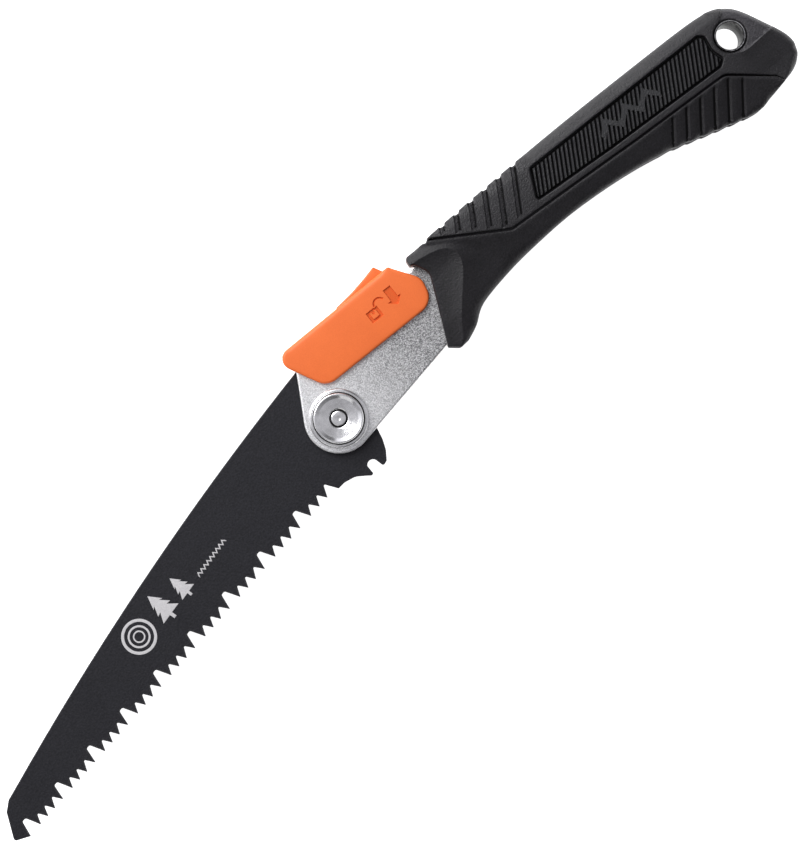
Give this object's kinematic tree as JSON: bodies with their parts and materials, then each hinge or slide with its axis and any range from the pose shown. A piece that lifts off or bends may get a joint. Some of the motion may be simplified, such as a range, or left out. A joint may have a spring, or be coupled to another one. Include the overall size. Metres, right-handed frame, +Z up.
{
  "type": "folding wood saw",
  "caption": "Folding wood saw with a long toothed blade, a metal bolster, a rocker lock lever and a ribbed soft-grip handle.",
  "frame": {"origin": "on the floor under the middle of the saw's box, with the saw lying on its far side and the blade open", "axes": "+X along the handle from the blade to the butt, +Y towards the thumb side, +Z up out of the near side"},
  "size_m": [0.4424, 0.0928, 0.024],
  "materials": {
    "blade_coating": "matt black coating over ground steel",
    "plate_steel": "sand-textured nickel plate",
    "pivot_chrome": "polished",
    "bearing_bronze": "satin",
    "inner_steel": "satin",
    "lever_plastic": "fine matt, moulded in colour",
    "core_plastic": "fine matt",
    "grip_rubber": "soft matt",
    "panel_rubber": "ribbed matt",
    "tube_metal": "polished"
  },
  "bodies": {
    "handle": {"frame_plate_near": "plate_steel", "frame_plate_far": "plate_steel", "pivot_bolt": "pivot_chrome", "pivot_nut": "pivot_chrome", "cup_washer_near": "pivot_chrome", "cup_washer_far": "pivot_chrome", "pivot_sleeve": "bearing_bronze", "thrust_washer_near": "bearing_bronze", "thrust_washer_far": "bearing_bronze", "spacer_bar": "inner_steel", "spring_seat": "inner_steel", "frame_rivets": "inner_steel", "lever_pin": "inner_steel", "lever_spring": "inner_steel", "core_near": "core_plastic", "core_far": "core_plastic", "upper_grip_near": "grip_rubber", "upper_grip_far": "grip_rubber", "lower_grip_near": "grip_rubber", "lower_grip_far": "grip_rubber", "ribbed_panel_near": "panel_rubber", "ribbed_panel_far": "panel_rubber", "handle_screws": "inner_steel", "threaded_inserts": "bearing_bronze", "lanyard_tube": "tube_metal"},
    "blade": {"saw_blade": "blade_coating"},
    "lock_lever": {"lock_lever": "lever_plastic", "lock_pawl": "inner_steel", "pawl_pins": "inner_steel"}
  },
  "joints": [
    {"name": "blade_pivot", "type": "hinge", "parent": "handle", "child": "blade", "pos_m": [-0.0145, 0.0076, 0.012], "axis": [0, 0, 1], "range_deg": [0, 168.5]},
    {"name": "lock_lever_pivot", "type": "hinge", "parent": "handle", "child": "lock_lever", "pos_m": [0.0175, 0.0296, 0.012], "axis": [0, 0, -1], "range_deg": [-4.5, 3], "stiffness_Nm_per_rad": 0.8, "springref_deg": -5.73, "deforming": ["lever_spring"]}
  ]
}
